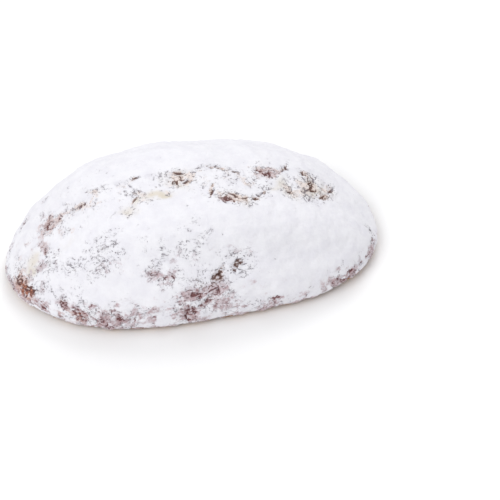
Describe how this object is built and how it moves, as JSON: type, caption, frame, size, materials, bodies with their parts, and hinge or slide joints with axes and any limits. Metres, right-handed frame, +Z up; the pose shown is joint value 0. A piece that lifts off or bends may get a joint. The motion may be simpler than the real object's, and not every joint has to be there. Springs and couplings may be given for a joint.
{
  "type": "stollen",
  "caption": "Whole oval stollen, a folded fruit bread under a thick coat of powdered sugar with crust showing through.",
  "frame": {"origin": "middle of the loaf's flat underside", "axes": "+X along the loaf from its broad end to its narrow end, +Z up, -Y towards the front with the low folded shelf"},
  "size_m": [0.3, 0.165, 0.083],
  "materials": {
    "sugared_crust": "matte powdered sugar over brown crust"
  },
  "bodies": {
    "root": {"stollen_loaf": "sugared_crust"}
  },
  "joints": []
}
